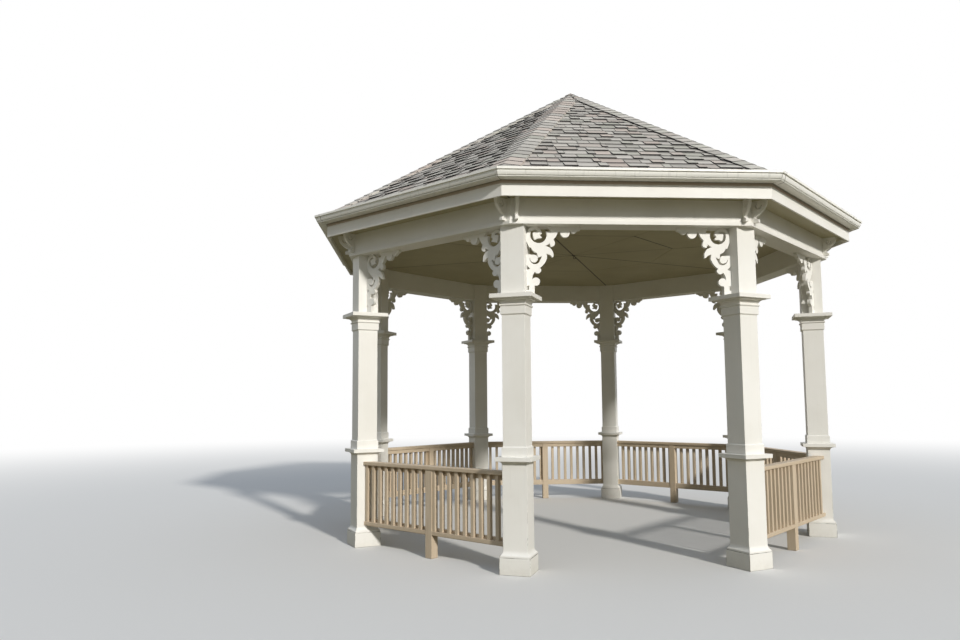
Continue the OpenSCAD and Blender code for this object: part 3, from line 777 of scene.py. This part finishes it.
def hipTree(tab, material, r):
    # Local axes: X across the hip, Y up along it, Z out of it. The corner of the eave is the origin.
    tree, given = groupTree("hip caps", ("Count", "Seed"),
                            ("Exposure", "Length", "Narrowing", "Lift", "Sink"))
    line = outOf(tree, "GeometryNodeMeshLine", {
        "Count": given["Count"], "Offset": vectorOf(tree, 0, given["Exposure"]),
        "Start Location": vectorOf(tree, 0, 0, given["Lift"])})
    index = outOf(tree, "GeometryNodeInputIndex")
    for label, salt in (("tone", r["hipToneSalt"]), ("hue", r["hipHueSalt"])):
        line = stored(tree, line, label, randomOf(tree, 0, 1, index, plus(tree, given["Seed"], salt)))
    caps = copiesOf(tree, tab, line)
    # the wings are trimmed along the eave, and near the peak along the middle of each slope
    spot = pointPlace(tree)
    across = within(tree, spot[0], times(tree, minus(tree, given["Length"], spot[1]), given["Narrowing"]))
    wing = sums(tree, "ABSOLUTE", across)
    along = sums(tree, "MAXIMUM", spot[1], times(tree, wing, given["Narrowing"]))
    along = sums(tree, "MINIMUM", along, given["Length"])
    # the last caps lie flatter, under the cap on the peak
    left = minus(tree, given["Length"], along)
    sunk = ramp(tree, left, r["sinkFrom"], r["sinkTo"], 0.0, given["Sink"])
    closeTree(tree, movedTo(tree, caps, across, along, minus(tree, spot[2], sunk)), material)
    return tree


def makeHips(r):
    # the fold is how steeply a slope falls away from the plane that lies across the hip
    slopeNormal = Vector((math.sin(pitch) * math.cos(halfTurn), math.sin(pitch) * math.sin(halfTurn),
                          math.cos(pitch)))
    fold = math.tan(slopeNormal.angle(Vector((math.sin(hipSlope), 0, math.cos(hipSlope)))))
    wing, soft = r["capWing"], r["capRounding"]
    across = [(x, r["capButt"] - fold * (abs(x) if abs(x) > soft / 2 else (x * x / soft + soft / 4)))
              for x in (-wing, -wing / 2, -soft / 2, 0, soft / 2, wing / 2, wing)]
    length = r["capExposure"] + r["capOverlap"]
    # the cap's side towards the key stays pale, and its other side is painted dark as painted shade
    tab = laidTab("hiptab", across, length, r["capTail"], r["capSide"], litSides=1)
    tree = hipTree(tab, hipShingle, r)
    for column in numbers:
        # neighbours differ a little in height, so that they don't lie in one plane at the peak
        piece = grown(f"hip_caps_{column}", tree, {
            "Count": math.floor(hipLength / r["capExposure"]), "Exposure": r["capExposure"],
            "Length": hipLength, "Narrowing": math.sin(halfTurn) * math.cos(pitch),
            "Lift": r["capLift"] * (column % 2), "Sink": r["capSink"], "Seed": r["hipSeed"] + column})
        piece.data.transform(roofMatrix(columnMatrix(column), cornerOut, hipSlope))
        finishPiece(piece, hipShingle, "shingles")
    bpy.data.objects.remove(tab)


# The cap on the peak: a square of the hips' shingle, with dark cut edges.
peakCap = dict(tone=0.85, hue=0.9, upright=0.5)


def makePeakCap(c):
    mesh = dressed("roof_cap", "peak_cap", hipShingle, "shingles", woodwork["noEase"]).data
    for label in ("tone", "hue"):
        mark(mesh, label, [c[label]] * len(mesh.vertices))
    mark(mesh, "cut", [1.0 if face.normal.z < c["upright"] else 0.0 for face in mesh.polygons], domain="FACE")


makeSlopes(roof)
makeHips(roof)
makePeakCap(peakCap)
print("roof shingled")


def makeColumns(w):
    reach = math.hypot(columnOut, columnAlong)
    for column in numbers:
        mesh = dressed(f"column_{column}", f"boxed_column_{column}", columnPaint, "painted_wood",
                       w["columnEase"]).data
        # each point's place in the column's own axes, for the cracks along its corners
        inward = Matrix.Translation((-reach, 0, 0)) @ columnMatrix(column).inverted()
        places = [inward @ vertex.co for vertex in mesh.vertices]
        mark(mesh, "local", [number for place in places for number in place], kind="FLOAT_VECTOR")


def makeWoodwork(w):
    for side in numbers:
        dressed(f"brackets_{side}", f"sawn_brackets_{side}", uprightPaint, "painted_wood", w["bracketEase"])
    for pair in range(1, plan["sides"] // 2 + 1):
        dressed(f"corbels_{pair}", f"sawn_corbels_{pair}", uprightPaint, "painted_wood", w["corbelEase"])
    for node, name in (("beam_ring", "frieze_boards"), ("frieze_strip", "frieze_moulding"),
                       ("fascia", "fascia_boards")):
        dressed(node, name, levelPaint, "painted_wood", w["beamEase"])
    for node, name in (("soffit", "soffit_boards"), ("ceiling", "ceiling_panels")):
        dressed(node, name, shadedBoardPaint, "ceiling_wood", w["noEase"])


makeColumns(woodwork)
makeWoodwork(woodwork)
print("woodwork and ceiling dressed")

# Gutter: a folded sheet with a hemmed rim, a nearly upright face and a bead, and a sleeve over each mitre.
# Steps are pairs of how far in and how far down.
gutterParts = dict(out=gutterHigh.y - 0.0014, top=gutterHigh.z, foot=gutterLow.z, back=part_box("fascia")[1].y,
                   backDrop=0.012, hem=0.01, hemDrop=0.008, rim=0.021, rimStep=(0.014, 0.003), slant=0.01,
                   bulge=0.003, bulgeSteps=6, face=0.042, beadStep=(0.016, 0.002), bead=0.01, beadSteps=8,
                   sheet=0.0016, shadedBack=0.035, wallShade=0.003, sleeve=(0.012, 0.085), sleeveLift=0.0012,
                   sleeveGap=0.0002, sleeveEnd=0.022, sleeveEndDarkness=(0.2, 1.0, 0.5, 0.8), leastMitre=0.35,
                   sharpAngle=28)


def bowed(start, end, bow, steps):
    # points from start to end, swelling sideways by bow in the middle
    along = Vector(end) - Vector(start)
    side = Vector((along.y, -along.x)).normalized()
    return [Vector(start) + along * k / steps + side * bow * math.sin(math.pi * k / steps)
            for k in range(steps + 1)]


def gutterLine(g):
    # the outer skin's section as distance from the middle and height, from the back's top to the hem's end
    out, top, back, foot = g["out"], g["top"], g["back"], g["foot"]
    rim = Vector((out, top - g["rim"]))
    faceTop = rim - Vector(g["rimStep"])
    faceFoot = faceTop - Vector((g["slant"], g["face"]))
    beadTop = faceFoot - Vector(g["beadStep"])
    line = [Vector((back, top - g["backDrop"])), Vector((back, foot)), Vector((back + g["shadedBack"], foot))]
    line += bowed((beadTop.x, foot), beadTop, g["bead"], g["beadSteps"])
    line += bowed(faceFoot, faceTop, g["bulge"], g["bulgeSteps"])
    line += [rim, Vector((out, top)), Vector((out - g["hem"], top)),
             Vector((out - g["hem"], top - g["hemDrop"]))]
    return line


def shifted(line, depth, least):
    # the same section, moved by depth towards its left, and never further at a fold than least allows
    moved = []
    for index, point in enumerate(line):
        ways = [(line[k + 1] - line[k]).normalized() for k in (index - 1, index) if 0 <= k < len(line) - 1]
        lefts = [Vector((-way.y, way.x)) for way in ways]
        middle = sum(lefts, Vector((0, 0))).normalized()
        moved.append(point + middle * depth / max(least, middle.dot(lefts[0])))
    return moved


def atCorner(column, section, along=Vector((0, 0, 0))):
    # a section's points on the upright plane through a corner, moved along
    corner = columnMatrix(column)
    return [corner @ (Vector((spot.x / math.cos(halfTurn), 0, spot.y)) + along) for spot in section]


def bandOf(here, there, count):
    # faces from each of a section's points to the same point of the next section
    return [(here + k, there + k, there + (k + 1) % count, here + (k + 1) % count) for k in range(count)]


def sweptRing(name, section):
    # the closed section carried round all corners
    count = len(section)
    points = [point for column in numbers for point in atCorner(column, section)]
    faces = []
    for start in range(0, len(points), count):
        faces += bandOf(start, (start + count) % len(points), count)
    return meshOf(name, points, faces)


def sleeveMesh(g, line, column):
    # sheet folded round a corner, a little outside the gutter's own; some sleeves darken more towards their
    # end than others
    outer = shifted(line, -g["sleeveLift"], g["leastMitre"])
    inner = shifted(line, -g["sleeveGap"], g["leastMitre"])
    section = outer + inner[::-1]
    count = len(section)
    points, faces, darkening = [], [], []
    most = g["sleeveEndDarkness"][(column - 1) % len(g["sleeveEndDarkness"])]
    left, right = g["sleeve"]
    clean = right - g["sleeveEnd"]
    for reach, way, endDarkness in ((left, -1, 0.0), (0.0, 0, 0.0), (clean, 1, 0.0), (right, 1, most)):
        along = Vector((-math.sin(halfTurn), way * math.cos(halfTurn), 0)) * reach
        points += atCorner(column, section, along)
        darkening += [endDarkness] * count
    for start in (0, count, 2 * count):
        faces += bandOf(start, start + count, count)
    faces.append(tuple(range(count)))
    faces.append(tuple(range(4 * count - 1, 3 * count - 1, -1)))
    mesh = meshOf("sleeve", points, faces)
    mark(mesh, "darkening", darkening)
    return mesh


def makeGutter(g):
    line = gutterLine(g)
    section = line + shifted(line, g["sheet"], g["leastMitre"])[::-1]
    sheet = linked("gutter_sheet", sweptRing("gutter_sheet", section))
    # the back of the bed, against the fascia, is painted dark: painted shade in that corner
    darkening = [1.0 if spot.x < g["back"] + g["wallShade"] else 0.0 for spot in section]
    mark(sheet.data, "darkening", darkening * plan["sides"])
    # a sleeve leaves out the back and the hem
    sleeves = [sleeveMesh(g, line[2:-2], column) for column in numbers]
    mitres = linked("gutter_mitres", joined("gutter_mitres", sleeves))
    for piece in (sheet, mitres):
        shape = bmesh.new()
        shape.from_mesh(piece.data)
        bmesh.ops.recalc_face_normals(shape, faces=shape.faces)
        shape.to_mesh(piece.data)
        shape.free()
        smoothed(piece.data, g["sharpAngle"])
    finishPiece(sheet, sheetPaint, "gutter_metal", "gutter")
    finishPiece(mitres, sheetPaint, "gutter_metal")


makeGutter(gutterParts)
print("gutter folded")

# Railings: boards with eased edges and square balusters, cut on the slant to the pedestals.
railLow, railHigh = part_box("railing_5")
rails = dict(line=(railLow.y + railHigh.y) / 2, top=railHigh.z, handrail=(0.108, 0.038), post=0.089,
             lumber=0.038, underRail=0.051, innerBoard=(0.218, 0.077), outerRail=(0.232, 0.043), balusters=9,
             ease=0.0018, handrailEase=0.006, easeSteps=2, sharpAngle=50, seed=500, shiftSalt=5,
             grainShifts=(5, 60), boardShift=3.7, boardTone=0.37)


def endAt(out):
    # how far a board at this distance from the middle runs along the side before it meets the pedestal
    pedestalEnd = plan["pedestalWidth"] / 2 / math.cos(halfTurn)
    return columnAlong - pedestalEnd + (out - columnOut) * math.tan(halfTurn)


def easedBoard(low, high, ease, slanted=False):
    # The points and faces of one board. Slanted ones run from pedestal to pedestal.
    shape = bmesh.new()
    bmesh.ops.create_cube(shape, size=1)
    for vertex in shape.verts:
        vertex.co = [low[k] if vertex.co[k] < 0 else high[k] for k in range(3)]
        if slanted:
            vertex.co.y = math.copysign(endAt(vertex.co.x), vertex.co.y)
    bmesh.ops.bevel(shape, geom=shape.edges[:], offset=ease, segments=rails["easeSteps"], profile=0.5,
                    affect="EDGES")
    points = [vertex.co.copy() for vertex in shape.verts]
    faces = [[vertex.index for vertex in face.verts] for face in shape.faces]
    shape.free()
    return points, faces


def boardMesh(name, boards, r):
    # boards lists (points, faces, long axis): each keeps its own grain, with the length on X
    points, faces, grain, tone = [], [], [], []
    for number, (corners, sides, axis) in enumerate(boards):
        start = len(points)
        points += corners
        faces += [[start + k for k in side] for side in sides]
        order = (axis, (axis + 1) % 3, (axis + 2) % 3)
        grain += [corner[k] + r["boardShift"] * number for corner in corners for k in order]
        tone += [(number * r["boardTone"]) % 1.0] * len(corners)
    mesh = meshOf(name, points, faces)
    mark(mesh, "grain", grain, kind="FLOAT_VECTOR")
    mark(mesh, "tone", tone)
    return mesh


def railingTree(source, material, r):
    # Two rows of balusters beside the middle post, each with a grain of its own.
    tree, given = groupTree("balusters", ("Count", "Seed"), ("Spacing", "First", "Second", "Line"))
    step = vectorOf(tree, 0, given["Spacing"])
    both = put(tree, "GeometryNodeJoinGeometry")
    for start in ("First", "Second"):
        place = vectorOf(tree, given["Line"], given[start])
        feeds = {"Count": given["Count"], "Offset": step, "Start Location": place}
        row = outOf(tree, "GeometryNodeMeshLine", feeds)
        tree.links.new(row, both.inputs[0])
    index = outOf(tree, "GeometryNodeInputIndex")
    salted = plus(tree, given["Seed"], r["shiftSalt"])
    places = stored(tree, both.outputs[0], "tone", randomOf(tree, 0, 1, index, given["Seed"]))
    places = stored(tree, places, "shift", randomOf(tree, *r["grainShifts"], index, salted))
    sticks = copiesOf(tree, source, places)
    along = vectorOf(tree, named(tree, "shift"))
    grain = named(tree, "grain", "FLOAT_VECTOR")
    shift = outOf(tree, "ShaderNodeVectorMath", {0: grain, 1: along}, operation="ADD")
    sticks = without(tree, stored(tree, sticks, "grain", shift, "FLOAT_VECTOR"), "shift")
    whole = put(tree, "GeometryNodeJoinGeometry")
    tree.links.new(given["Geometry"], whole.inputs[0])
    tree.links.new(sticks, whole.inputs[0])
    closeTree(tree, whole.outputs[0], material)
    return tree


def railingBoards(r):
    line, half, ease = r["line"], r["lumber"], r["ease"]
    wide, thick = r["handrail"]
    under = r["top"] - thick
    post = r["post"] / 2
    innerFoot, innerTall = r["innerBoard"]
    outerFoot, outerWide = r["outerRail"]
    # the handrail, the rail under it, the inner bottom board and the outer bottom rail; -1 and 1 stand for
    # the ends, which are cut on the slant
    runs = [((line - wide / 2, -1, under), (line + wide / 2, 1, r["top"]), r["handrailEase"]),
            ((line - half, -1, under - r["underRail"]), (line, 1, under), ease),
            ((line - half, -1, innerFoot), (line, 1, innerFoot + innerTall), ease),
            ((line, -1, outerFoot), (line + outerWide, 1, outerFoot + half), ease)]
    boards = [(*easedBoard(low, high, soft, True), 1) for low, high, soft in runs]
    boards.append((*easedBoard((line - post, -post, 0), (line + post, post, under), ease), 2))
    return boards


def makeRailings(r):
    foot = r["outerRail"][0] + r["lumber"]
    stick = easedBoard((0, 0, foot), (r["lumber"], r["lumber"], r["top"] - r["handrail"][1]), r["ease"])
    source = linked("stick", boardMesh("stick", [(*stick, 2)], r))
    source.hide_render = True
    tree = railingTree(source, railWood, r)
    end = endAt(r["line"])
    spacing = (end - r["post"] / 2) / r["balusters"]
    for side in numbers[1:]:
        mesh = boardMesh(f"boards_{side}", railingBoards(r), r)
        piece = grown(f"balustrade_{side}", tree, {
            "Count": r["balusters"], "Spacing": spacing, "First": -end, "Second": r["post"] / 2,
            "Line": r["line"], "Seed": r["seed"] + side}, mesh)
        piece.data.transform(sideMatrix(side))
        smoothed(piece.data, r["sharpAngle"])
        flattened(piece, True)
        finishPiece(piece, railWood, "rail_wood", f"railing_{side}")
    bpy.data.objects.remove(source)


makeRailings(rails)
print("railings built")

# The hook is the one CAD node that still shows.
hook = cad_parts["ceiling_hook"].data
hook.materials.clear()
hook.materials.append(hookSteel)
